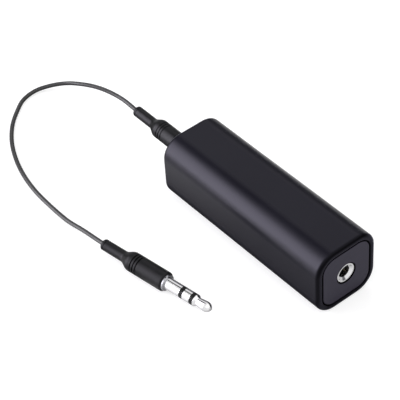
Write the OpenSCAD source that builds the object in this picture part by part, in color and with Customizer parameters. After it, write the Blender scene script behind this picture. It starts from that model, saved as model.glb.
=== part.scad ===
// Ground loop isolator for a stereo line signal.
// A square case with rounded corners holds a board with two coupling
// transformers and a 3.5 mm jack behind each end cap. A patch cord with a
// moulded plug on each end is pushed into the rear jack.
// The origin is under the middle of the case, on the surface it stands on.
// +X points out of the free front jack and +Z is up.

/* [Case] */
// Length of the case, from rim to rim
case_l = 65; // [54:0.5:80]
// Width and height of the square case
case_w = 21; // [17.5:0.5:26]
// Radius of the four long corners
case_r = 6.3; // [5:0.1:7]
// Wall of the case
wall = 1.8; // [1.4:0.1:2]
// Rounding of the rim at each end
rim_r = 1; // [0.4:0.1:1.2]
// Rounding of the rim's inner edge
rim_in_r = 0.3; // [0.1:0.1:0.5]

/* [End caps] */
// Thickness of a cap's plate
cap_t = 2; // [1.6:0.1:2.4]
// How deep the plate lies behind the rim
cap_recess = 0.1; // [0:0.1:0.8]
// Gap between a cap and the case wall
cap_gap = 0.2; // [0.1:0.05:0.3]
// Rounding of the plate's outer edge
cap_edge_r = 0.4; // [0.1:0.1:0.6]
// Length of the tabs behind the plate
tab_l = 4; // [3:0.1:5]
// Thickness of the tabs
tab_t = 1.2; // [0.8:0.1:1.5]
// Width of the tabs
tab_w = 8; // [6:0.5:9]
// Width of a snap barb
barb_w = 5; // [3:0.5:7]
// Length of a snap barb
barb_l = 1.8; // [1.2:0.1:2.2]
// How far a barb reaches into its pocket in the wall
barb_grip = 0.5; // [0.3:0.1:0.7]
// Clearance round a barb in its pocket
pocket_gap = 0.15; // [0.1:0.05:0.3]

/* [Circuit board] */
// Thickness of the board
board_t = 1; // [0.8:0.1:1.4]
// Gap between the board's edge and the wall
board_gap = 0.2; // [0.1:0.05:0.4]
// How far the board's two tongues stand out past the sides of the jacks
tongue_edge = 0.5; // [0.3:0.1:1]
// Thickness of a rail
rail_t = 0.9; // [0.7:0.1:1.2]
// How far a rail reaches over the board's edge
rail_grip = 0.9; // [0.6:0.1:1.2]
// Clearance between a rail and the board
rail_gap = 0.1; // [0.05:0.05:0.2]
// How far each pin and leg stands out under the board
lead_out = 1; // [0.8:0.1:1.2]
// Clearance round a lead in its hole
lead_gap = 0.15; // [0.1:0.05:0.2]
// Height of a solder joint
solder_h = 0.7; // [0.5:0.1:0.8]
// Radius of a solder joint at the board
solder_r = 0.9; // [0.8:0.1:1]

/* [Jacks] */
// Diameter of the metal bushing that shows in the cap
bush_d = 6.2; // [5.8:0.1:6.4]
// Length of the bushing
bush_l = 4.8; // [4.6:0.1:5]
// How far its collar stands out behind the cap
collar_lip = 0.4; // [0.3:0.1:0.8]
// Thickness of its collar
collar_t = 1; // [0.8:0.1:1.2]
// Diameter of its tail, behind the collar
tail_d = 5.4; // [5:0.1:5.6]
// Clearance round a plug in the bore
bore_gap = 0.05; // [0.03:0.01:0.1]
// Width of the countersink at its mouth
mouth_w = 0.8; // [0.5:0.1:1]
// Depth of the countersink
mouth_depth = 0.6; // [0.4:0.1:1]
// Clearance round the bushing in the cap
bush_gap = 0.25; // [0.1:0.05:0.3]
// How deep the bushing's face lies behind the face of the cap
bush_inset = 0.25; // [0:0.05:0.5]
// Wall of the moulded jack body beside the collar
jack_side = 0.8; // [0.5:0.1:1.2]
// Room in the jack body past the tip of a plug
tip_room = 0.6; // [0.3:0.1:1]
// End wall of the jack body
jack_end = 0.5; // [0.4:0.1:0.8]
// Height of the jack's axis over the board
jack_axis_h = 4.6; // [4.4:0.1:5]
// Height of the jack body over its axis
jack_top_h = 4.5; // [4.2:0.1:4.8]
// Thickness of the contact strips
strip_t = 0.25; // [0.2:0.05:0.3]
// Height of the contact strips
strip_h = 1.8; // [1.4:0.1:2]
// How far a relaxed contact stands into the path of a plug
spring_reach = 0.45; // [0.3:0.05:0.6]

/* [Transformers] */
// Height of the windings
coil_h = 5; // [4:0.1:6]
// Thickness of each winding
layer_t = 0.7; // [0.5:0.05:0.8]
// Clearance between the windings and the core
coil_gap = 0.1; // [0.05:0.05:0.2]
// Thickness of the stack of laminations
core_t = 3.6; // [3.2:0.1:3.8]
// Width of the outer legs and the yokes
core_leg = 1.4; // [1.2:0.1:1.6]
// Width of the middle leg
core_mid = 2.8; // [2.4:0.1:3]
// Height of a core over the board
core_lift = 0.8; // [0.6:0.1:1]
// Wall of the bobbin
bobbin_t = 0.5; // [0.4:0.1:0.6]
// How far the bobbin's flanges reach past the winding
bobbin_lip = 0.5; // [0.3:0.1:0.7]
// Width of the two feet that hold its pins
foot_w = 1.7; // [1.4:0.1:1.8]
// Distance between the two rows of terminal pins
pin_rows = 6.6; // [6.4:0.1:7]
// Thickness of the tape round the windings
tape_t = 0.15; // [0.1:0.05:0.2]
// Diameter of a terminal pin
pin_d = 0.6; // [0.5:0.05:0.7]
// Distance between the terminal pins in a row
pin_pitch = 2.5; // [2:0.25:3]

/* [Plugs] */
// Diameter of the plug's contact pin
plug_d = 3.5; // [3.46:0.01:3.5]
// Length of the plug's sleeve contact
sleeve_l = 4.2; // [4:0.1:4.4]
// Length of the plug's ring contact
ring_l = 2.9; // [2.6:0.1:3]
// Length of the plug's tip contact
tip_l = 5.7; // [5.4:0.1:5.8]
// Width of each black insulator
insulator_l = 0.8; // [0.6:0.1:0.9]
// Diameter of the plug's flange
flange_d = 4.9; // [4.6:0.1:5.2]
// Thickness of the plug's flange
flange_t = 0.55; // [0.3:0.05:0.8]
// Length of the sleeve that stays out of a jack, in front of the flange
step_l = 1.25; // [0.8:0.05:1.4]
// Diameter of the moulded barrel
barrel_d = 5.8; // [5.6:0.1:7]
// Length of the moulded barrel
barrel_l = 12.5; // [11:0.1:14]
// Length of the taper between barrel and neck
taper_l = 3.6; // [3:0.1:5]
// Diameter of the neck round the cord
neck_d = 3.3; // [2.9:0.1:3.8]
// Length of the neck
neck_l = 7.7; // [6:0.1:9]
// Number of grooves round the barrel
grooves = 3; // [1:1:5]
// Distance from groove to groove
groove_pitch = 0.95; // [0.6:0.05:1.1]
// Depth of a groove
groove_depth = 0.2; // [0.1:0.05:0.3]
// How far the plug in the rear jack still is from being fully in
plug_gap = 0.5; // [0.1:0.1:0.8]

/* [Cord] */
// Diameter of the cord
cord_d = 1.3; // [1.1:0.1:1.6]
// Middle of the free plug where it meets a jack's face, along the case
free_x = -1.7; // [-4:0.1:4]
// Middle of the free plug where it meets a jack's face, across the case
free_y = -33.2; // [-40:0.1:-30]
// How far the free plug is turned away from the case's length
free_turn = 9; // [0:1:15]

/* [Hidden] */

// A hair of clearance between nested round pieces
hair = 0.05;

// Case: half sizes, the cavity and the height of the jacks' common axis
axis_z = case_w / 2;
half_l = case_l / 2;
cavity = case_w / 2 - wall;
cavity_r = case_r - wall;
case_black = [0.16, 0.16, 0.18];
cap_black = [0.22, 0.21, 0.25];

// End caps, seen from the middle of the case
plate_x = half_l - cap_recess;
plate_back = plate_x - cap_t;
tab_end = plate_back - tab_l;
cap_half = cavity - cap_gap;
cap_r = cavity_r - cap_gap;

// Jack, with its own origin on its axis at the bushing's face, +X outwards
jack_x = half_l - cap_recess - bush_inset;
jack_front = -(cap_t - bush_inset + hair);
bore_r = plug_d / 2 + bore_gap;
collar_d = bush_d + 2 * collar_lip;
jack_w = collar_d + 2 * jack_side;
collar_back = jack_front - collar_t;
body_bore_r = bore_r + 0.2;
body_bore_end = -(plug_l() + tip_room);
jack_back = body_bore_end - jack_end;
jack_bottom = -jack_axis_h;

// Plug, with its own origin on its axis where it meets a jack's face, +X to the tip
plug_r = plug_d / 2;
ring_x = sleeve_l + insulator_l;
tip_x = ring_x + ring_l + insulator_l;
boot_x = -step_l - flange_t;
taper_x = boot_x - barrel_l;
neck_x = taper_x - taper_l;
neck_end = neck_x - neck_l;
shank_l = 4.5;
shank_r = plug_r - 0.25;
metal = [0.86, 0.86, 0.87];
boot_black = [0.12, 0.12, 0.12];

// Where the contacts touch the plug, and where their legs pass the board
ring_touch = -(ring_x + ring_l / 2);
tip_touch = -(tip_x + tip_l * 0.4);
waist_r = plug_r * 0.7;
slot_front = -(bush_l + 0.4);
slot_back = jack_back + 1.6;
slot_h = strip_h + 0.4;
strip_y = jack_w / 2 - 0.5;
leg_w = 0.8;
ring_leg = slot_back + 0.9;
tip_leg = slot_front - 0.9;
ground_leg = -(bush_l - 0.7);
hole_r = leg_w / 2 + lead_gap;

// Circuit board
board_top = axis_z - jack_axis_h;
board_bottom = board_top - board_t;
board_half = cavity_half(board_bottom) - board_gap;
board_end = tab_end - 0.3;
tongue_end = plate_back - 0.4;
tongue_half = jack_w / 2 + tongue_edge;
lead_end = board_bottom - lead_out;

// Transformers, from the board upwards
core_room = jack_x + jack_back;
core_x = core_room / 2;
core_bottom = board_top + core_lift;
window_bottom = core_bottom + core_leg;
tube_x = core_mid / 2 + coil_gap;
tube_y = core_t / 2 + coil_gap;
coil_z = window_bottom + coil_gap + bobbin_t;
primary_in = bobbin_t + hair;
secondary_in = primary_in + layer_t + hair;
tape_in = secondary_in + layer_t + hair;
coil_out = tape_in + tape_t;
window_w = coil_out + 2 * coil_gap;
window_h = coil_h + 2 * (bobbin_t + coil_gap);
core_l = core_mid + 2 * (window_w + core_leg);
core_h = window_h + 2 * core_leg;
flange_x = core_mid / 2 + window_w - coil_gap;
flange_y = tube_y + coil_out + bobbin_lip;
foot_y = pin_rows / 2;
foot_out = foot_y + foot_w / 2;
pin_r = pin_d / 2;
pin_top = window_bottom;
copper = [0.62, 0.31, 0.16];
brass = [0.75, 0.62, 0.35];

// Cord: points chosen by hand along its run over the surface
cord_r = cord_d / 2;
ground_r = barrel_d / 2;
box_neck = [-(jack_x + plug_gap) + neck_end, 0, axis_z];
free_axis = [cos(free_turn), sin(free_turn), 0];
free_neck = [free_x, free_y, ground_r] + neck_end * free_axis;
route = [
    box_neck,
    [-65, 0.15, 10.45],
    [-72, 0.1, 9.25],
    [-79.5, 0, 6.8],
    [-86.5, -1, 4.2],
    [-91.5, -3, 2.5],
    [-95, -6.5, 1.4],
    [-96.8, -11, 0.8],
    [-96, -16, cord_r],
    [-93, -20.5, cord_r],
    [-88.5, -25.5, cord_r],
    [-82.5, -30, cord_r],
    [-75.5, -33.5, cord_r],
    [-68, -36, cord_r],
    [-60, -37.5, cord_r],
    [-52, -38, cord_r],
    [-44, -38, cord_r],
    [-36, -37.5, 1.7],
    free_neck
];

function plug_l() = sleeve_l + ring_l + tip_l + 2 * insulator_l;

// Half width of the cavity at height z
function cavity_half(z) =
    let (over = abs(z - axis_z) - (cavity - cavity_r))
    over <= 0 ? cavity : cavity - cavity_r + sqrt(cavity_r * cavity_r - over * over);

// Points of an arc round [x, y]
function arc(x, y, r, from, to, n = 6) =
    [for (i = [0:n]) let (a = from + (to - from) * i / n) [x + r * cos(a), y + r * sin(a)]];

// Points of a smooth S from [x0, r0] to [x1, r1]
function s_curve(x0, r0, x1, r1, n = 14) =
    [for (i = [0:n]) [x0 + (x1 - x0) * i / n, r0 + (r1 - r0) * (1 - cos(180 * i / n)) / 2]];

// A square with rounded corners
module rounded_square(half_x, half_y, r) {
    square([2 * half_x, 2 * (half_y - r)], center = true);
    square([2 * (half_x - r), 2 * half_y], center = true);
    for (x = [-1, 1], y = [-1, 1])
        translate([x * (half_x - r), y * (half_y - r)])
            circle(r, $fn = 48);
}

// Sweeps a wall's section round a rounded square. In the section, x is the
// distance from the corner's centre and y lies along the case.
module swept(half, r) {
    side = half - r;
    rotate([90, 0, 90])
        for (turn = [0:90:270])
            rotate(turn)
                translate([side, side, 0]) {
                    rotate_extrude(angle = 90, $fn = 96)
                        children();
                    rotate([90, 0, 0])
                        linear_extrude(2 * side)
                            children();
                }
}

// Turns an outline of [x, r] points round the X axis
module turned(outline) {
    rotate([0, 90, 0])
        rotate_extrude($fn = 64)
            polygon([for (p = outline) [p[1], p[0]]]);
}

// Puts a jack, or what goes with one, behind the front or the rear cap
module at_end(end) {
    rotate([0, 0, end == "front" ? 0 : 180])
        translate([jack_x, 0, axis_z])
            children();
}

// Case

module case_sleeve() {
    color(case_black)
        difference() {
            union() {
                translate([0, 0, axis_z])
                    swept(case_w / 2, case_r)
                        wall_section();
                rails();
            }
            for (end = ["front", "rear"], side = [-1, 1])
                at_end(end)
                    scale_side(side)
                        barb_pocket();
        }
}

// Section of the case's wall, with both rims rounded
module wall_section() {
    polygon(concat(
        arc(case_r - rim_r, half_l - rim_r, rim_r, 0, 90),
        arc(cavity_r + rim_in_r, half_l - rim_in_r, rim_in_r, 90, 180, 4),
        arc(cavity_r + rim_in_r, -half_l + rim_in_r, rim_in_r, 180, 270, 4),
        arc(case_r - rim_r, -half_l + rim_r, rim_r, -90, 0)
    ));
}

// Two pairs of rails inside the wall hold the board's edges
module rails() {
    intersection() {
        translate([-board_end, 0, axis_z])
            rotate([90, 0, 90])
                linear_extrude(2 * board_end)
                    rounded_square((case_w - wall) / 2, (case_w - wall) / 2, case_r - wall / 2);
        for (side = [-1, 1], z = [board_bottom - rail_gap - rail_t, board_top + rail_gap])
            scale_side(side)
                translate([-board_end, board_half - rail_grip, z])
                    cube([2 * board_end, case_w, rail_t]);
    }
}

// Left side as drawn, right side mirrored
module scale_side(side) {
    if (side > 0)
        children();
    else
        mirror([0, 1, 0])
            children();
}

module barb_pocket() {
    translate([
        tab_end - jack_x - pocket_gap,
        cavity - 1,
        -barb_w / 2 - pocket_gap
    ])
        cube([barb_l + 2 * pocket_gap, 1 + barb_grip + pocket_gap, barb_w + 2 * pocket_gap]);
}

// End caps

module cap(end) {
    color(cap_black)
        at_end(end)
            difference() {
                union() {
                    translate([-jack_x, 0, 0]) {
                        swept(cap_half, cap_r)
                            plate_section();
                        translate([plate_back, cap_r - cap_half, cap_r - cap_half])
                            cube([cap_t, 2 * (cap_half - cap_r), 2 * (cap_half - cap_r)]);
                        tabs();
                    }
                    for (side = [-1, 1])
                        scale_side(side)
                            barb();
                }
                translate([-case_w, 0, 0])
                    rotate([0, 90, 0])
                        cylinder(h = 2 * case_w, r = bush_d / 2 + bush_gap, $fn = 64);
            }
}

// Section of the plate from the corner's centre to its rounded edge
module plate_section() {
    polygon(concat(
        [[0, plate_back], [cap_r, plate_back]],
        arc(cap_r - cap_edge_r, plate_x - cap_edge_r, cap_edge_r, 0, 90, 4),
        [[0, plate_x]]
    ));
}

// A tab on each side and one on top, within the plate's outline
module tabs() {
    length = tab_l + cap_t / 2;
    intersection() {
        translate([tab_end, 0, 0])
            rotate([90, 0, 90])
                linear_extrude(length)
                    rounded_square(cap_half, cap_half, cap_r);
        for (turn = [0, 90, -90])
            rotate([turn, 0, 0])
                translate([tab_end - 1, -tab_w / 2, cap_half - tab_t])
                    cube([length + 2, tab_w, tab_t + 1]);
    }
}

// A ramp that leads in and a square shoulder that holds
module barb() {
    reach = cap_gap + barb_grip;
    translate([tab_end - jack_x, cap_half - tab_t / 2, -barb_w / 2])
        linear_extrude(barb_w)
            polygon([
                [0, 0],
                [0, tab_t / 2],
                [barb_l * 0.7, tab_t / 2 + reach],
                [barb_l, tab_t / 2 + reach],
                [barb_l, 0]
            ]);
}

// Jacks

// Turned metal bushing: front ring, collar and tail, with a bevelled mouth
module bushing(end) {
    color(metal)
        at_end(end)
            turned(concat(
                [[-mouth_depth, bore_r], [0, bore_r + mouth_w]],
                [[0, bush_d / 2 - 0.12], [-0.12, bush_d / 2]],
                [[jack_front - hair, bush_d / 2], [jack_front - hair, collar_d / 2]],
                [[collar_back, collar_d / 2], [collar_back, tail_d / 2]],
                [[-bush_l, tail_d / 2], [-bush_l, bore_r]]
            ));
}

module jack_body(end) {
    color([0.1, 0.1, 0.1])
        at_end(end)
            difference() {
                translate([jack_back, -jack_w / 2, jack_bottom])
                    cube([jack_front - jack_back, jack_w, jack_axis_h + jack_top_h]);
                turned([
                    [body_bore_end, 0],
                    [body_bore_end, body_bore_r],
                    [-bush_l - hair, body_bore_r],
                    [-bush_l - hair, tail_d / 2 + hair],
                    [collar_back - hair, tail_d / 2 + hair],
                    [collar_back - hair, collar_d / 2 + hair],
                    [1, collar_d / 2 + hair],
                    [1, 0]
                ]);
                // One slot through both sides, with a groove down to the board for each leg
                translate([slot_back, -jack_w, -slot_h / 2])
                    cube([slot_front - slot_back, 2 * jack_w, slot_h]);
                for (leg = [[ring_leg, 1], [tip_leg, -1]])
                    scale_side(leg[1])
                        translate([leg[0] - leg_w / 2 - 0.2, strip_y - 0.5, jack_bottom - 1])
                            cube([leg_w + 0.4, jack_w, 1 - jack_bottom]);
                translate([ground_leg - leg_w / 2 - 0.1, -strip_t / 2 - 0.1, jack_bottom - 1])
                    cube([leg_w + 0.2, strip_t + 0.2, 1 - jack_bottom]);
            }
}

// A bent strip through the points of a path, seen from above, and its leg
module contact(path, leg_x) {
    translate([0, 0, -strip_h / 2])
        linear_extrude(strip_h)
            strip(path);
    translate([leg_x - leg_w / 2, strip_y - strip_t / 2, lead_end - axis_z])
        cube([leg_w, strip_t, axis_z - lead_end]);
}

module strip(path) {
    last = len(path) - 1;
    along = [for (i = [0:last]) unit(path[min(i + 1, last)] - path[max(i - 1, 0)])];
    half = [for (d = along) strip_t / 2 * [-d[1], d[0]]];
    polygon(concat(
        [for (i = [0:last]) path[i] + half[i]],
        [for (i = [last:-1:0]) path[i] - half[i]]
    ));
}

function unit(v) = v / norm(v);

// How far a contact's bend lies from the axis. The plug in the rear jack
// pushes it out to the surface of the plug.
function touch_y(end, r) = end == "front" ? plug_r - spring_reach : r + hair + strip_t / 2 + 0.1;

module ring_contact(end) {
    y = touch_y(end, plug_r);
    color(brass)
        at_end(end)
            contact([
                [ring_leg - leg_w / 2, strip_y],
                [ring_leg + leg_w, strip_y],
                [ring_touch - 0.6, y + 0.4],
                [ring_touch, y],
                [ring_touch + 0.6, y + 0.6]
            ], ring_leg);
}

module tip_contact(end) {
    y = touch_y(end, waist_r + 0.2);
    color(brass)
        at_end(end)
            mirror([0, 1, 0])
                contact([
                    [tip_leg + leg_w / 2, strip_y],
                    [tip_leg - leg_w, strip_y],
                    [tip_touch + 0.6, y + 0.4],
                    [tip_touch, y],
                    [tip_touch - 0.6, y + 0.6]
                ], tip_leg);
}

// A blade that stands under the bushing's tail
module ground_contact(end) {
    top = -(tail_d / 2 + hair);
    color(brass)
        at_end(end)
            translate([ground_leg - leg_w / 2, -strip_t / 2, lead_end - axis_z])
                cube([leg_w, strip_t, top - lead_end + axis_z]);
}

// Circuit board

// Centres of the holes for every lead, from the part's own origin
function jack_leads() = [
    [ring_leg, strip_y],
    [tip_leg, -strip_y],
    [ground_leg, 0]
];
function lead_places() = concat(
    [for (e = [1, -1], p = jack_leads()) e * [jack_x + p[0], p[1]]],
    [for (e = [1, -1], x = [-1:1], y = [-1, 1]) [e * core_x + x * pin_pitch, y * foot_y]]
);

module circuit_board() {
    color([0.1, 0.32, 0.2])
        difference() {
            union() {
                translate([-board_end, -board_half, board_bottom])
                    cube([2 * board_end, 2 * board_half, board_t]);
                translate([-tongue_end, -tongue_half, board_bottom])
                    cube([2 * tongue_end, 2 * tongue_half, board_t]);
            }
            for (p = lead_places())
                translate([p[0], p[1], board_bottom - 1])
                    cylinder(h = board_t + 2, r = hole_r, $fn = 24);
        }
}

// A cone of solder round each lead, on the underside
module solder_joints() {
    color([0.75, 0.76, 0.78])
        for (p = lead_places())
            translate([p[0], p[1], board_bottom - solder_h])
                difference() {
                    cylinder(h = solder_h, r1 = solder_r * 0.62, r2 = solder_r, $fn = 24);
                    translate([0, 0, -1])
                        cylinder(h = solder_h + 2, r = leg_w / 2 + hair, $fn = 24);
                }
}

// Transformers

// The left channel's transformer stands towards the front, the right one's to the rear
module at_core(channel) {
    translate([channel == "left" ? core_x : -core_x, 0, 0])
        children();
}

module core(channel) {
    color([0.42, 0.43, 0.45])
        at_core(channel)
            translate([0, core_t / 2, core_bottom])
                rotate([90, 0, 0])
                    linear_extrude(core_t)
                        difference() {
                            translate([-core_l / 2, 0])
                                square([core_l, core_h]);
                            for (side = [-1, 1])
                                translate([
                                    side * (core_mid + window_w) / 2 - window_w / 2,
                                    core_leg
                                ])
                                    square([window_w, window_h]);
                        }
}

// A square ring that stands round the middle leg, from in to out past the tube
module coil_ring(inner, outer, bottom, height) {
    translate([0, 0, bottom])
        linear_extrude(height)
            difference() {
                rounded_square(tube_x + outer, tube_y + outer, max(outer, 0.2));
                if (inner > 0)
                    rounded_square(tube_x + inner, tube_y + inner, inner);
                else
                    square([2 * tube_x, 2 * tube_y], center = true);
            }
}

module bobbin(channel) {
    color([0.85, 0.83, 0.76])
        at_core(channel)
            difference() {
                union() {
                    coil_ring(0, bobbin_t, coil_z - bobbin_t, coil_h + 2 * bobbin_t);
                    for (end = [[coil_z - bobbin_t, max(flange_y, foot_out)], [coil_z + coil_h, flange_y]])
                        translate([-flange_x, -end[1], end[0]])
                            cube([2 * flange_x, 2 * end[1], bobbin_t]);
                    for (side = [-1, 1])
                        scale_side(side)
                            translate([-flange_x, foot_out - foot_w, board_top])
                                cube([2 * flange_x, foot_w, coil_z - board_top]);
                }
                translate([-tube_x, -tube_y, board_top])
                    cube([2 * tube_x, 2 * tube_y, case_w]);
                for (x = [-1:1], y = [-1, 1])
                    translate([x * pin_pitch, y * foot_y, board_top - 1])
                        cylinder(h = pin_top - board_top + 1 + hair, r = pin_r + hair, $fn = 24);
            }
}

module winding(channel, inner, thickness, shade) {
    color(shade)
        at_core(channel)
            coil_ring(inner, inner + thickness, coil_z + hair, coil_h - 2 * hair);
}

module pins(channel) {
    color(metal)
        at_core(channel)
            for (x = [-1:1], y = [-1, 1])
                translate([x * pin_pitch, y * foot_y, lead_end])
                    cylinder(h = pin_top - lead_end, r = pin_r, $fn = 24);
}

// Plugs

// The box plug sits in the rear jack, the free plug lies on the surface
module at_plug(which) {
    if (which == "box")
        translate([-jack_x - plug_gap, 0, axis_z])
            children();
    else
        translate([free_x, free_y, ground_r])
            rotate([0, 0, free_turn])
                children();
}

// The moulded boot: barrel with grooves, S-shaped taper and neck
module plug_boot(which) {
    outer = barrel_d / 2;
    neck = neck_d / 2;
    groove_x = taper_x + groove_pitch;
    color(boot_black)
        at_plug(which)
            difference() {
                turned(concat(
                    [[neck_end, 0]],
                    arc(neck_end + 0.5, neck - 0.5, 0.5, 180, 90, 4),
                    s_curve(neck_x, neck, taper_x, outer),
                    [for (i = [0:grooves - 1], p = [[0, 0], [0.1, -1], [0.25, -1], [0.35, 0]])
                        [groove_x + i * groove_pitch + p[0], outer + p[1] * groove_depth]],
                    arc(boot_x - 0.5, outer - 0.5, 0.5, 90, 0, 4),
                    [[boot_x, 0]]
                ));
                turned([
                    [boot_x - shank_l - hair, 0],
                    [boot_x - shank_l - hair, shank_r + hair],
                    [boot_x + 1, shank_r + hair],
                    [boot_x + 1, 0]
                ]);
                // A fine line round the end of the neck
                turned([
                    [neck_end + 1, neck - 0.12],
                    [neck_end + 1, neck + 1],
                    [neck_end + 1.2, neck + 1],
                    [neck_end + 1.2, neck - 0.12]
                ]);
            }
}

// Nested from the outside in: sleeve, insulator, ring, insulator and tip
sleeve_bore = plug_r * 0.72;
ring_bore = plug_r * 0.42;
shank_x = boot_x - shank_l;

module plug_sleeve(which) {
    color(metal)
        at_plug(which)
            turned([
                [shank_x, sleeve_bore],
                [shank_x, shank_r],
                [boot_x, shank_r],
                [boot_x, flange_d / 2],
                [-step_l - 0.1, flange_d / 2],
                [-step_l, flange_d / 2 - 0.1],
                [-step_l, plug_r],
                [sleeve_l, plug_r],
                [sleeve_l, sleeve_bore]
            ]);
}

module plug_insulators(which) {
    color([0.06, 0.06, 0.06])
        at_plug(which) {
            turned([
                [shank_x, sleeve_bore - hair - 0.2],
                [shank_x, sleeve_bore - hair],
                [sleeve_l, sleeve_bore - hair],
                [sleeve_l, plug_r],
                [ring_x, plug_r],
                [ring_x, sleeve_bore - hair - 0.2]
            ]);
            turned([
                [shank_x, ring_bore - hair - 0.2],
                [shank_x, ring_bore - hair],
                [ring_x + ring_l, ring_bore - hair],
                [ring_x + ring_l, plug_r],
                [tip_x, plug_r],
                [tip_x, ring_bore - hair - 0.2]
            ]);
        }
}

module plug_ring(which) {
    stem = sleeve_bore - 2 * hair - 0.2;
    color(metal)
        at_plug(which)
            turned([
                [shank_x, ring_bore],
                [shank_x, stem],
                [ring_x, stem],
                [ring_x, plug_r],
                [ring_x + ring_l, plug_r],
                [ring_x + ring_l, ring_bore]
            ]);
}

// The tip widens from its waist to a blunt nose, and a jack's contact snaps in behind it
module plug_tip(which) {
    stem = ring_bore - 2 * hair - 0.2;
    nose_r = waist_r + 0.25;
    color(metal)
        at_plug(which)
            turned(concat(
                [[shank_x, 0], [shank_x, stem], [tip_x, stem], [tip_x, plug_r]],
                s_curve(tip_x + 0.25, plug_r, tip_x + tip_l * 0.22, waist_r, 8),
                [for (p = [[0.65, 1], [0.72, 0.985], [0.79, 0.92], [0.86, 0.79], [0.92, 0.62], [0.965, 0.42], [0.99, 0.22], [1, 0.1], [1, 0]])
                    [tip_x + tip_l * p[0], nose_r * p[1]]]
            ));
}

// Cord

// One point of the smooth curve from b to c, with their neighbours a and d
function between(a, b, c, d, t) =
    (2 * b + (c - a) * t + (2 * a - 5 * b + 4 * c - d) * t * t
        + (3 * b - a - 3 * c + d) * t * t * t) / 2;

module cord() {
    steps = 3;
    last = len(route) - 1;
    before = route[0] + [6, 0, 0];
    after = route[last] + 6 * free_axis;
    points = concat([before], route, [after]);
    line = concat(
        [for (i = [1:last], k = [0:steps - 1])
            above(between(points[i - 1], points[i], points[i + 1], points[i + 2], k / steps))],
        [route[last]]
    );
    end = len(line) - 1;
    heading = [for (i = [0:end])
        i == 0 ? [-1, 0, 0] : i == end ? free_axis : unit(line[i + 1] - line[i - 1])];
    color([0.08, 0.08, 0.08])
        polyhedron(
            points = [for (i = [0:end], a = [0:45:315]) ring_point(line[i], heading[i], a)],
            faces = concat(
                [[for (a = [0:7]) a]],
                [for (i = [0:end - 1], a = [0:7])
                    let (b = (a + 1) % 8)
                    [8 * i + b, 8 * i + a, 8 * i + 8 + a, 8 * i + 8 + b]],
                [[for (a = [7:-1:0]) 8 * end + a]]
            )
        );
}

// Keeps the cord on top of the surface
function above(p) = [p[0], p[1], max(p[2], cord_r)];

function ring_point(centre, heading, a) =
    let (side = unit(cross(heading, [0, 0, 1])), up = cross(side, heading))
    centre + cord_r * (cos(a) * side + sin(a) * up);

module front_cap() cap("front");
module rear_cap() cap("rear");
module front_bushing() bushing("front");
module rear_bushing() bushing("rear");
module front_jack_body() jack_body("front");
module rear_jack_body() jack_body("rear");
module front_tip_contact() tip_contact("front");
module rear_tip_contact() tip_contact("rear");
module front_ring_contact() ring_contact("front");
module rear_ring_contact() ring_contact("rear");
module front_ground_contact() ground_contact("front");
module rear_ground_contact() ground_contact("rear");
module left_core() core("left");
module right_core() core("right");
module left_bobbin() bobbin("left");
module right_bobbin() bobbin("right");
module left_primary() winding("left", primary_in, layer_t, copper);
module right_primary() winding("right", primary_in, layer_t, copper);
module left_secondary() winding("left", secondary_in, layer_t, copper);
module right_secondary() winding("right", secondary_in, layer_t, copper);
module left_tape() winding("left", tape_in, tape_t, [0.85, 0.72, 0.25]);
module right_tape() winding("right", tape_in, tape_t, [0.85, 0.72, 0.25]);
module left_pins() pins("left");
module right_pins() pins("right");
module box_plug_boot() plug_boot("box");
module free_plug_boot() plug_boot("free");
module box_plug_sleeve() plug_sleeve("box");
module free_plug_sleeve() plug_sleeve("free");
module box_plug_ring() plug_ring("box");
module free_plug_ring() plug_ring("free");
module box_plug_tip() plug_tip("box");
module free_plug_tip() plug_tip("free");
module box_plug_insulators() plug_insulators("box");
module free_plug_insulators() plug_insulators("free");

case_sleeve();
front_cap();
rear_cap();
front_bushing();
rear_bushing();
front_jack_body();
rear_jack_body();
front_tip_contact();
rear_tip_contact();
front_ring_contact();
rear_ring_contact();
front_ground_contact();
rear_ground_contact();
circuit_board();
solder_joints();
left_core();
right_core();
left_bobbin();
right_bobbin();
left_primary();
right_primary();
left_secondary();
right_secondary();
left_tape();
right_tape();
left_pins();
right_pins();
cord();
box_plug_boot();
free_plug_boot();
box_plug_sleeve();
free_plug_sleeve();
box_plug_ring();
free_plug_ring();
box_plug_tip();
free_plug_tip();
box_plug_insulators();
free_plug_insulators();
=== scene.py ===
import math

import bmesh
import bpy
from mathutils import Matrix, Vector


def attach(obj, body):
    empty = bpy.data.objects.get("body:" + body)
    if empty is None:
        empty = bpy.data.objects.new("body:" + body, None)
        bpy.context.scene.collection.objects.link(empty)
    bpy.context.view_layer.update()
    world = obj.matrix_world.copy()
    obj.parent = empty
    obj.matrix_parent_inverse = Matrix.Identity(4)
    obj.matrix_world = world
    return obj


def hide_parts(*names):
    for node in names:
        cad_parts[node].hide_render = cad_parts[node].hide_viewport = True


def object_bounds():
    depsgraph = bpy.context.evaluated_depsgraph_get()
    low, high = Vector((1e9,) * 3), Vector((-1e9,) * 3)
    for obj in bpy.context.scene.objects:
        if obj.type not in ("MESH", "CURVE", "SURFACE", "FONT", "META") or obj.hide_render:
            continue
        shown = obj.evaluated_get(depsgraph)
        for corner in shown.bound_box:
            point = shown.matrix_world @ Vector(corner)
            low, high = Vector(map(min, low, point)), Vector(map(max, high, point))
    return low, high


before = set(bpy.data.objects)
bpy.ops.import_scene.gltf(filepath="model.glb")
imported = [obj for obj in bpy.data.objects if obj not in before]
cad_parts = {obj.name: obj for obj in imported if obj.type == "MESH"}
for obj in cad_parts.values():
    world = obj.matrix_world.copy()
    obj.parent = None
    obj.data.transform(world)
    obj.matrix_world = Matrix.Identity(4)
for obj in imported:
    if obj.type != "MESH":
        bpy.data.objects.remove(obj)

CAD_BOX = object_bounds()

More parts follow.
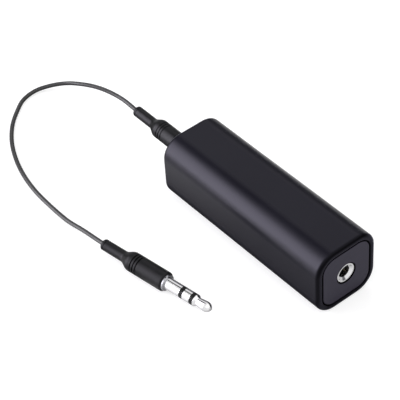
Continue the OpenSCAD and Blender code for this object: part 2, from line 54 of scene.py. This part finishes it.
# Sizes are in metres. The case stands on the floor with its length along X, and the
# jacks' common axis runs through its middle.
CASE_END = CAD_BOX[1][0]
CASE_WIDTH = 0.021
CASE_CORNER = 0.0063
WALL = 0.0018
CAP_GAP = 0.0002
PLATE_HALF = CASE_WIDTH / 2 - WALL - CAP_GAP
PLATE_CORNER = CASE_CORNER - WALL - CAP_GAP
RING_RADIUS = 0.0031
AXIS_Z = CASE_WIDTH / 2

# Each plug has its own origin on its axis where it meets a jack's face, +X to the tip.
BOX_PLUG = Vector((-0.03265, 0, AXIS_Z))
FREE_PLUG = Vector((-0.0017, -0.0332, 0.0029))
FREE_TURN = math.radians(9)
SLEEVE_LENGTH = 0.0042
RING_LENGTH = 0.0029
INSULATOR_LENGTH = 0.0008
REAR_BAND = SLEEVE_LENGTH + INSULATOR_LENGTH / 2
FRONT_BAND = REAR_BAND + RING_LENGTH + INSULATOR_LENGTH
FLANGE_FRONT = -0.00125
FLANGE_THICKNESS = 0.00055
BARREL_LENGTH = 0.0125
TAPER_LENGTH = 0.0036
NECK_LENGTH = 0.0077
BARREL_END = FLANGE_FRONT - FLANGE_THICKNESS - BARREL_LENGTH
NECK_END = BARREL_END - TAPER_LENGTH - NECK_LENGTH
GROOVES = 3
GROOVE_PITCH = 0.00095
GROOVE_WIDTH = 0.00035
FIRST_GROOVE = BARREL_END + GROOVE_PITCH + GROOVE_WIDTH / 2
LAST_GROOVE = FIRST_GROOVE + (GROOVES - 1) * GROOVE_PITCH

CORD_RADIUS = 0.00065

BLACK = (0.0, 0.0, 0.0)
WHITE = (1.0, 1.0, 1.0)


# Camera and cord

def place_camera():
    """A long lens that looks down on the case from its front left."""
    lens = bpy.data.cameras.new("view_camera")
    lens.lens = 156.3
    lens.sensor_width = 36
    lens.clip_start, lens.clip_end = 0.01, 20
    camera = bpy.data.objects.new("view_camera", lens)
    azimuth, height, roll = (math.radians(angle) for angle in (-36.879, 43.63, -4.058))
    camera.matrix_world = (
        Matrix.Translation((0.265929, -0.22219, 0.346427))
        @ Matrix.Rotation(azimuth + math.pi / 2, 4, "Z")
        @ Matrix.Rotation(math.pi / 2 - height, 4, "X")
        @ Matrix.Rotation(roll, 4, "Z")
    )
    bpy.context.scene.collection.objects.link(camera)
    bpy.context.scene.camera = camera


def cord_route():
    """The cord's run, from the neck of the box plug to the neck of the free plug.

    The first and last values are places inside the necks, which set the slope at each end.
    """
    along = Vector((math.cos(FREE_TURN), math.sin(FREE_TURN), 0))
    low = CORD_RADIUS * 1000
    middle = [
        (-65, 0.15, 10.45), (-72, 0.1, 9.25), (-79.5, 0, 6.8), (-86.5, -1, 4.2),
        (-91.5, -3, 2.5), (-95, -6.5, 1.4), (-96.8, -11, 0.8), (-96, -16, low),
        (-93, -20.5, low), (-88.5, -25.5, low), (-82.5, -30, low), (-75.5, -33.5, low),
        (-68, -36, low), (-60, -37.5, low), (-52, -38, low), (-44, -38, low),
        (-36, -37.5, 1.7),
    ]
    start = BOX_PLUG + Vector((NECK_END, 0, 0))
    end = FREE_PLUG + along * NECK_END
    before = start + Vector((0.006, 0, 0))
    after = end + along * 0.006
    return before, [start] + [Vector(p) / 1000 for p in middle] + [end], after


def make_cord(finish):
    """One smooth curve through the route, in place of the part's tube of eight sides."""
    before, points, after = cord_route()
    line = bpy.data.curves.new("cord_jacket", "CURVE")
    line.dimensions = "3D"
    line.resolution_u = 10
    line.bevel_depth = CORD_RADIUS
    line.bevel_resolution = 5
    line.use_fill_caps = True
    spline = line.splines.new("BEZIER")
    spline.bezier_points.add(len(points) - 1)
    run = [before] + points + [after]
    length = 0
    for i, knot in enumerate(spline.bezier_points):
        slope = (run[i + 2] - run[i]) / 6
        knot.co = run[i + 1]
        knot.handle_left_type = knot.handle_right_type = "FREE"
        for side, sign in (("handle_left", -1), ("handle_right", 1)):
            handle = run[i + 1] + sign * slope
            handle.z = max(handle.z, CORD_RADIUS)
            setattr(knot, side, handle)
        if i:
            length += arc_length(spline.bezier_points[i - 1], knot)
    jacket = bpy.data.objects.new("cord_jacket", line)
    bpy.context.scene.collection.objects.link(jacket)
    line.materials.append(finish)
    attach(jacket, "root")
    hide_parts("cord")


def arc_length(a, b, steps=24):
    """Length of the curve between two knots."""
    total, last = 0, a.co.copy()
    for k in range(1, steps + 1):
        t = k / steps
        here = (
            (1 - t) ** 3 * a.co
            + 3 * (1 - t) ** 2 * t * a.handle_right
            + 3 * (1 - t) * t ** 2 * b.handle_left
            + t ** 3 * b.co
        )
        total += (here - last).length
        last = here
    return total


# Finishes

class Number:
    """A number that varies from point to point, so that shader maths reads as plain sums."""

    def __init__(self, shading, socket):
        self.shading = shading
        self.socket = socket

    def __add__(self, other):
        return self.shading.maths("ADD", self, other)

    def __radd__(self, other):
        return self.shading.maths("ADD", other, self)

    def __sub__(self, other):
        return self.shading.maths("SUBTRACT", self, other)

    def __rsub__(self, other):
        return self.shading.maths("SUBTRACT", other, self)

    def __mul__(self, other):
        return self.shading.maths("MULTIPLY", self, other)

    def __rmul__(self, other):
        return self.shading.maths("MULTIPLY", other, self)

    def __truediv__(self, other):
        return self.shading.maths("DIVIDE", self, other)

    def __pow__(self, other):
        return self.shading.maths("POWER", self, other)

    def __abs__(self):
        return self.shading.maths("ABSOLUTE", self)


class Shading:
    """The node tree of a material or of the world, filled by one call a node."""

    def __init__(self, owner):
        owner.use_nodes = True
        self.tree = owner.node_tree
        self.tree.nodes.clear()

    def set(self, node, socket, value):
        """Gives a socket a value, or links it."""
        value = getattr(value, "socket", value)
        if isinstance(value, bpy.types.NodeSocket):
            self.tree.links.new(value, node.inputs[socket])
        else:
            node.inputs[socket].default_value = value

    def add(self, kind, settings=None, sockets=None):
        """A node of any kind, with its settings first and then its sockets."""
        node = self.tree.nodes.new(kind)
        for name, value in (settings or {}).items():
            setattr(node, name, value)
        for name, value in (sockets or {}).items():
            self.set(node, name, value)
        return node

    def maths(self, operation, *values):
        node = self.add("ShaderNodeMath", {"operation": operation}, dict(enumerate(values)))
        return Number(self, node.outputs[0])

    def axes(self, vector):
        node = self.add("ShaderNodeSeparateXYZ", None, {"Vector": vector})
        return [Number(self, node.outputs[i]) for i in range(3)]

    def step(self, value, low, high):
        """0 at low, 1 at high and smooth between them."""
        node = self.add(
            "ShaderNodeMapRange",
            {"interpolation_type": "SMOOTHSTEP"},
            {"Value": value, "From Min": low, "From Max": high},
        )
        return Number(self, node.outputs[0])

    def blend(self, factor, first, second):
        """One colour turning into another, or into a linked colour."""
        node = self.add(
            "ShaderNodeMix",
            {"data_type": "RGBA"},
            {"Factor": factor, 6: rgba(first), 7: rgba(second)},
        )
        return node.outputs[2]

    def rays(self, *kinds):
        """1 for rays of any of these kinds, such as Is Camera Ray."""
        seen = self.add("ShaderNodeLightPath").outputs
        total = Number(self, seen[kinds[0]])
        for kind in kinds[1:]:
            total = self.maths("MAXIMUM", total, Number(self, seen[kind]))
        return total


class Finish(Shading):
    """One material: a Principled shader and the nodes that feed it."""

    def __init__(self, name, **constants):
        self.material = bpy.data.materials.new(name)
        super().__init__(self.material)
        self.shader = self.add("ShaderNodeBsdfPrincipled")
        output = self.add("ShaderNodeOutputMaterial")
        self.tree.links.new(self.shader.outputs[0], output.inputs["Surface"])
        self.place = self.add("ShaderNodeTexCoord").outputs["Object"]
        for socket, value in constants.items():
            self.set(self.shader, socket.replace("_", " "), rgba(value))

    def turned(self, place, turn):
        """Object coordinates from a piece's own middle, turned about Z."""
        node = self.add(
            "ShaderNodeMapping",
            {"vector_type": "TEXTURE"},
            {"Vector": self.place, "Location": place, "Rotation": (0, 0, turn)},
        )
        return node.outputs[0]

    def stretched(self, along_z):
        """Object coordinates scaled along Z, for marks that lie across it or run up it."""
        node = self.add(
            "ShaderNodeMapping", None, {"Vector": self.place, "Scale": (1, 1, along_z)}
        )
        return node.outputs[0]

    def noise(self, size, detail, vector=None):
        """Soft noise from 0 to 1, with spots about as large as size in metres."""
        node = self.add(
            "ShaderNodeTexNoise",
            None,
            {"Vector": vector or self.place, "Scale": 1 / size, "Detail": detail},
        )
        return Number(self, node.outputs[0])

    def colour(self, value):
        self.set(self.shader, "Base Color", rgba(value))

    def metallic(self, value):
        self.set(self.shader, "Metallic", value)

    def roughness(self, value):
        self.set(self.shader, "Roughness", value)

    def bump(self, height, depth):
        """Relief, with height from 0 to 1 standing for depth in metres."""
        node = self.add(
            "ShaderNodeBump", None, {"Height": height, "Strength": 1.0, "Distance": depth}
        )
        self.set(self.shader, "Normal", node.outputs[0])


def rgba(colour):
    return (*colour, 1) if isinstance(colour, tuple) and len(colour) == 3 else colour


def satin_plastic(name, dark, light, rough, sheen, shadow):
    """Moulded black plastic with a fine spark-eroded grain and a violet sheen.

    Where the shadow is 1 it is a black metal, which reflects nothing.
    """
    finish = Finish(
        name, IOR=1.46, Specular_IOR_Level=sheen, Specular_Tint=(0.87, 0.85, 1.0)
    )
    grain = finish.noise(0.00022, 3)
    flow = finish.noise(0.018, 2)
    black = shadow(finish)
    moulded = finish.blend(finish.step(flow, 0.3, 0.7), dark, light)
    finish.colour(finish.blend(black, moulded, BLACK))
    finish.metallic(black)
    finish.roughness(rough + 0.05 * grain + 0.05 * flow)
    finish.bump(grain, 0.0000035)
    return finish.material


def rim_shadow(finish):
    """Painted shade that darkens the rims at both ends of the case."""
    x = finish.axes(finish.place)[0]
    return 0.75 * finish.step(abs(x), CASE_END - 0.0013, CASE_END - 0.0002)


def plate_shadow(finish):
    """Painted shadow: a thin black line round an end plate, and one round the hole for its jack.
    """
    y, z = finish.axes(finish.place)[1:]
    z = z - AXIS_Z
    flat_half = PLATE_HALF - PLATE_CORNER
    across = finish.maths("MAXIMUM", abs(y) - flat_half, 0)
    up = finish.maths("MAXIMUM", abs(z) - flat_half, 0)
    corner = (across * across + up * up) ** 0.5
    border = finish.step(corner, PLATE_CORNER - 0.0003, PLATE_CORNER - 0.0002)
    radius = (y * y + z * z) ** 0.5
    hole = finish.step(radius, RING_RADIUS + 0.0004, RING_RADIUS + 0.0003)
    return finish.maths("MAXIMUM", border, hole)


def nickel_plate(name, place, turn, lines, stain_and_painted_shade):
    """Bright nickel with fine turning lines round the axis of a turned piece."""
    finish = Finish(name, Metallic=1.0)
    x, y, z = finish.axes(finish.turned(place, turn))
    radius = (y * y + z * z) ** 0.5
    tool = finish.maths("SINE", (x + radius) * (2 * math.pi / lines))
    wander = finish.noise(0.0006, 3)
    cloud = finish.noise(0.003, 2)
    bright = finish.blend(cloud, (0.78, 0.78, 0.79), (0.87, 0.865, 0.855))
    # The function passed in paints shade into the plate's colour.
    finish.colour(stain_and_painted_shade(finish, x, radius, bright))
    finish.roughness(0.13 + 0.08 * wander + 0.02 * tool)
    finish.bump(tool * 0.5 + wander, 0.0000012)
    return finish.material


def ring_painted_shade(finish, x, radius, plate):
    """Painted shade: black on the collar behind a jack's ring, which stands out past it."""
    collar = finish.step(radius, RING_RADIUS - 0.00002, RING_RADIUS + 0.00004)
    return finish.blend(collar, plate, (0.01, 0.01, 0.01))


def plug_painted_shade(finish, x, radius, plate):
    """Painted shade: grey on a plug's flange, and black beside its insulator bands."""
    flange = finish.step(x, FLANGE_FRONT + 0.00008, FLANGE_FRONT + 0.00003)
    plate = finish.blend(flange, plate, (0.4, 0.4, 0.42))
    # The black beside each insulator band is painted shade.
    for band in (REAR_BAND, FRONT_BAND):
        band_painted_shade = finish.step(abs(x - band), 0.00064, 0.00058)
        plate = finish.blend(band_painted_shade, plate, (0.01, 0.01, 0.01))
    return plate


def moulded_gloss(name, dark, light, rough, sheen):
    """Glossy injection-moulded plastic with faint flow marks."""
    finish = Finish(name, IOR=1.5, Specular_IOR_Level=sheen)
    flow = finish.noise(0.004, 3)
    finish.colour(finish.blend(flow, dark, light))
    finish.roughness(rough + 0.1 * flow)
    finish.bump(finish.noise(0.0005, 2), 0.000004)
    return finish.material


def brass_strip():
    """Rolled strip with fine scratches, dull with tarnish."""
    finish = Finish("contact_brass", Metallic=1.0)
    scratch = finish.noise(0.0012, 4, finish.stretched(14))
    tarnish = finish.step(finish.noise(0.002, 3), 0.35, 0.65)
    finish.colour(finish.blend(tarnish, (0.42, 0.32, 0.17), (0.16, 0.12, 0.08)))
    finish.roughness(0.4 + 0.2 * scratch)
    finish.bump(scratch, 0.000003)
    return finish.material


def board_laminate():
    """Green solder mask over a glass weave, with lighter tracks."""
    finish = Finish("board_laminate", IOR=1.5, Coat_Weight=0.4, Coat_Roughness=0.15)
    x, y = finish.axes(finish.place)[:2]
    weave = finish.maths("SINE", x * 9000) * finish.maths("SINE", y * 9000)
    lane = finish.maths("FRACT", y / 0.0025 + 0.25 * finish.maths("SINE", x * 260))
    track = finish.step(lane, 0.68, 0.72) * finish.step(lane, 0.98, 0.94)
    cloud = finish.noise(0.006, 2)
    mask = finish.blend(cloud, (0.02, 0.14, 0.06), (0.03, 0.19, 0.08))
    finish.colour(finish.blend(track, mask, (0.06, 0.3, 0.12)))
    finish.roughness(0.36 + 0.06 * cloud)
    finish.bump(track + 0.15 * weave, 0.000018)
    return finish.material


def solder():
    """Bright, slightly wrinkled tin solder."""
    finish = Finish("solder_tin", Metallic=1.0)
    wrinkle = finish.noise(0.0004, 4)
    finish.colour(finish.blend(wrinkle, (0.66, 0.67, 0.7), (0.86, 0.86, 0.87)))
    finish.roughness(0.2 + 0.25 * wrinkle)
    finish.bump(wrinkle, 0.00003)
    return finish.material


def core_steel(sheet=0.00035):
    """Varnished laminations, stacked across the case."""
    finish = Finish("core_steel", Metallic=0.85, Coat_Weight=0.3, Coat_Roughness=0.2)
    y = finish.axes(finish.place)[1]
    edge = finish.maths("PINGPONG", y, sheet / 2) / (sheet / 2)
    stain_and_painted_shade = finish.noise(0.0015, 4)
    steel = finish.blend(stain_and_painted_shade, (0.26, 0.27, 0.29), (0.42, 0.42, 0.44))
    finish.colour(finish.blend(finish.step(edge, 0.75, 1), steel, (0.06, 0.05, 0.05)))
    finish.roughness(0.35 + 0.25 * stain_and_painted_shade)
    finish.bump(1 - finish.step(edge, 0.7, 1), 0.00004)
    return finish.material


def bobbin_plastic():
    """Ivory nylon, a little mottled."""
    finish = Finish("bobbin_plastic", IOR=1.5, Subsurface_Weight=0.08)
    mottle = finish.noise(0.003, 3)
    finish.colour(finish.blend(mottle, (0.78, 0.74, 0.64), (0.88, 0.85, 0.77)))
    finish.roughness(0.42 + 0.12 * mottle)
    finish.bump(finish.noise(0.0003, 2), 0.000005)
    return finish.material


def copper_wire(name, pitch):
    """Turns of enamelled wire that lie side by side up the bobbin."""
    finish = Finish(name, Metallic=0.9, Coat_Weight=0.6, Coat_Roughness=0.12)
    z = finish.axes(finish.place)[2]
    lay = z + 0.00004 * finish.noise(0.002, 2)
    turn = finish.maths("PINGPONG", lay, pitch / 2) / (pitch / 2)
    crown = 1 - turn * turn
    shade = finish.noise(0.0015, 3)
    bright = finish.blend(shade, (0.62, 0.24, 0.1), (0.8, 0.38, 0.2))
    # The dark between the turns is painted shade.
    finish.colour(finish.blend(finish.step(crown, 0.0, 0.5), (0.12, 0.03, 0.01), bright))
    finish.roughness(0.24 + 0.12 * shade)
    finish.bump(crown, pitch * 0.5)
    return finish.material


def winding_tape(width=0.0031):
    """Yellow polyester tape with a few soft wrinkles."""
    finish = Finish("winding_tape", IOR=1.55, Coat_Weight=0.5, Coat_Roughness=0.1)
    wrinkle = finish.noise(0.0025, 3)
    z = finish.axes(finish.place)[2]
    lap = finish.step(finish.maths("FRACT", z / width + 0.1), 0.9, 0.96)
    finish.colour(finish.blend(
        lap + 0.3 * wrinkle, (0.86, 0.62, 0.1), (0.6, 0.38, 0.05)
    ))
    finish.roughness(0.3 + 0.15 * wrinkle)
    finish.bump(wrinkle + lap, 0.00005)
    return finish.material


def tinned_pin():
    """Drawn wire, tinned."""
    finish = Finish("tinned_pin", Metallic=1.0)
    streak = finish.noise(0.0001, 2, finish.stretched(0.05))
    finish.colour(finish.blend(streak, (0.68, 0.68, 0.7), (0.85, 0.85, 0.86)))
    finish.roughness(0.25 + 0.2 * streak)
    finish.bump(streak, 0.000004)
    return finish.material


def cord_jacket():
    """Smooth black jacket with a faint bloom."""
    finish = Finish("cord_rubber", IOR=1.5, Specular_IOR_Level=0.3)
    bloom = finish.noise(0.004, 3)
    finish.colour(finish.blend(bloom, (0.034, 0.034, 0.0345), (0.05, 0.05, 0.0505)))
    finish.roughness(0.22 + 0.08 * bloom)
    finish.bump(finish.noise(0.0003, 2), 0.000004)
    return finish.material


def boot_moulding(name, place, turn, groove_painted_shade):
    """Satin black moulding with the thin parting line of its mould on each side.

    A number from 0 to 1 paints shade into the grooves, turning them black.
    """
    finish = Finish(name, IOR=1.48, Specular_IOR_Level=0.2, Specular_Tint=(0.95, 0.94, 1.0))
    x, y, z = finish.axes(finish.turned(place, turn))
    parting = 1 - finish.step(abs(z), 0.00002, 0.00008)
    grain = finish.noise(0.0003, 3)
    cloud = finish.noise(0.005, 2)
    rubber = finish.blend(cloud, (0.006, 0.006, 0.0065), (0.01, 0.01, 0.0105))
    if groove_painted_shade:
        # Painted shade in the grooves: black metal that reflects nothing.
        from_groove = finish.maths("PINGPONG", x - FIRST_GROOVE, GROOVE_PITCH / 2)
        groove_shade_mask = (
            groove_painted_shade
            * finish.step(from_groove, 0.00025, 0.00015)
            * finish.step(x, FIRST_GROOVE - 0.0005, FIRST_GROOVE - 0.0004)
            * finish.step(x, LAST_GROOVE + 0.0005, LAST_GROOVE + 0.0004)
        )
        rubber = finish.blend(groove_shade_mask, rubber, BLACK)
        finish.metallic(groove_shade_mask)
    finish.colour(rubber)
    finish.roughness(0.3 + 0.06 * grain + 0.06 * cloud)
    finish.bump(parting + 0.12 * grain, 0.00003)
    return finish.material


def case_finishes():
    """The finish of each piece of the case, its board and its jacks."""
    case = satin_plastic(
        "case_plastic", (0.0056, 0.0052, 0.0088), (0.0067, 0.0063, 0.0102), 0.25, 0.25, rim_shadow
    )
    cap = satin_plastic(
        "cap_plastic", (0.0118, 0.009, 0.0215), (0.014, 0.0108, 0.025), 0.34, 0.38, plate_shadow
    )
    jack = moulded_gloss("jack_plastic", (0.01, 0.01, 0.01), (0.018, 0.018, 0.018), 0.3, 0.5)
    brass = brass_strip()
    finishes = {
        "case_sleeve": case,
        "circuit_board": board_laminate(),
        "solder_joints": solder(),
    }
    for end in ("front", "rear"):
        finishes[f"{end}_cap"] = cap
        finishes[f"{end}_bushing"] = nickel_plate(
            f"{end}_nickel", (0, 0, AXIS_Z), 0, 0.00016, ring_painted_shade
        )
        finishes[f"{end}_jack_body"] = jack
        for contact in ("tip", "ring", "ground"):
            finishes[f"{end}_{contact}_contact"] = brass
    return finishes


def transformer_finishes():
    """The finish of each piece of the two coupling transformers."""
    pieces = {
        "core": core_steel(),
        "bobbin": bobbin_plastic(),
        "primary": copper_wire("primary_wire", 0.00012),
        "secondary": copper_wire("secondary_wire", 0.00016),
        "tape": winding_tape(),
        "pins": tinned_pin(),
    }
    return {
        f"{channel}_{piece}": finish
        for channel in ("left", "right")
        for piece, finish in pieces.items()
    }


def plug_finishes():
    """The finish of each piece of the two plugs, measured from each plug's own place."""
    insulator = moulded_gloss(
        "insulator_plastic", (0.004, 0.004, 0.004), (0.007, 0.007, 0.007), 0.3, 0.2
    )
    finishes = {}
    # Only the free plug's boot gets painted shade in its grooves.
    for plug, place, turn, groove_painted_shade in (
        ("box", BOX_PLUG, 0, 0),
        ("free", FREE_PLUG, FREE_TURN, 0.85),
    ):
        plate = nickel_plate(f"{plug}_plug_nickel", place, turn, 0.0001, plug_painted_shade)
        for contact in ("sleeve", "ring", "tip"):
            finishes[f"{plug}_plug_{contact}"] = plate
        finishes[f"{plug}_plug_boot"] = boot_moulding(f"{plug}_boot_rubber", place, turn, groove_painted_shade)
        finishes[f"{plug}_plug_insulators"] = insulator
    return finishes


def dress_nodes():
    """Every CAD piece but the cord gets its finish."""
    for finishes in (case_finishes(), transformer_finishes(), plug_finishes()):
        for node, finish in finishes.items():
            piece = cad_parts[node]
            piece.data.materials.clear()
            piece.data.materials.append(finish)


# Floor and lights

def lay_floor():
    """A wide sheet of white, slightly glossy paper that the case and the cord lie on.

    In reflections it has a painted glow beside the soft box and painted shade at the case's left
    foot.
    """
    paper = bmesh.new()
    bmesh.ops.create_grid(paper, x_segments=1, y_segments=1, size=6)
    bmesh.ops.translate(paper, vec=(0, 0, -0.00003), verts=paper.verts)
    mesh = bpy.data.meshes.new("floor")
    paper.to_mesh(mesh)
    paper.free()
    floor = bpy.data.objects.new("floor", mesh)
    bpy.context.scene.collection.objects.link(floor)
    finish = Finish("floor_paper", IOR=1.5, Roughness=0.25, Emission_Strength=1.0)
    x, y = finish.axes(finish.place)[:2]
    mirror = finish.rays("Is Glossy Ray", "Is Transmission Ray")
    # Painted shade at the case's left foot, seen only in reflections.
    reach = 0.035 * finish.step(x, -0.006, -0.02)
    foot_painted_shade = (
        finish.step(x, 0.037, 0.029)
        * finish.step(y + reach, -0.037, -0.027)
        * finish.step(y, 0.012, 0.004)
    )
    close = finish.step(y, -0.020, -0.0115)
    dark = 0.4 + 0.35 * finish.step(y, -0.02, -0.029) + 0.5 * close
    finish.colour(finish.blend(mirror * foot_painted_shade * dark, (0.5, 0.5, 0.5), BLACK))
    # Painted glow beside the soft box, seen only in reflections.
    beside_painted_glow = 0.42 * finish.step(x, 0.005, -0.045) * finish.step(x, -0.075, -0.05)
    mirrored = (0.22 * (1 - foot_painted_shade) + 0.05 * foot_painted_shade + beside_painted_glow) * (1 - foot_painted_shade * close)
    glow = 0.62 * finish.rays("Is Camera Ray") + mirrored * mirror
    finish.set(finish.shader, "Emission Color", finish.blend(glow, BLACK, WHITE))
    mesh.materials.append(finish.material)


def light_world():
    """One tall soft box low on the left, a pale ceiling with a dark gap, brighter light high
    in front, a dim right side, and white behind the floor.

    turn is the angle round the case's length: 0 level on the left and a quarter turn overhead.
    """
    world = bpy.data.worlds.new("studio")
    bpy.context.scene.world = world
    shading = Shading(world)
    x, y, z = shading.axes(shading.add("ShaderNodeTexCoord").outputs["Generated"])
    turn = shading.maths("ARCTAN2", z, 0 - y)
    right = shading.step(turn, 2.46, 2.68)
    ceiling = shading.blend(right, (0.92, 0.92, 0.93), (0.14, 0.14, 0.15))
    gap = (
        shading.step(turn - 1.6 * x, 2.26, 2.38)
        * shading.step(turn, 1.97, 1.86)
        * shading.step(x, -0.2, -0.4)
    )
    split = shading.blend(gap, ceiling, (0.01, 0.01, 0.011))
    front = shading.step(x, 0.0, 0.3) * shading.step(z, 0.4, 0.55)
    pale = shading.blend(front, split, (1.4, 1.4, 1.4))
    box = (
        shading.step(turn + 2.1 * x, 0.1, -0.46)
        * shading.step(x, -0.34, -0.46)
        * shading.step(x, -0.84, -0.7)
    )
    lit = shading.blend(box, pale, (8.0, 7.8, 8.4))
    seen = shading.blend(shading.rays("Is Camera Ray"), lit, WHITE)
    background = shading.add("ShaderNodeBackground", None, {"Color": seen})
    output = shading.add("ShaderNodeOutputWorld")
    shading.tree.links.new(background.outputs[0], output.inputs["Surface"])
    bpy.context.scene.view_settings.view_transform = "Standard"


place_camera()
make_cord(cord_jacket())
dress_nodes()
lay_floor()
light_world()
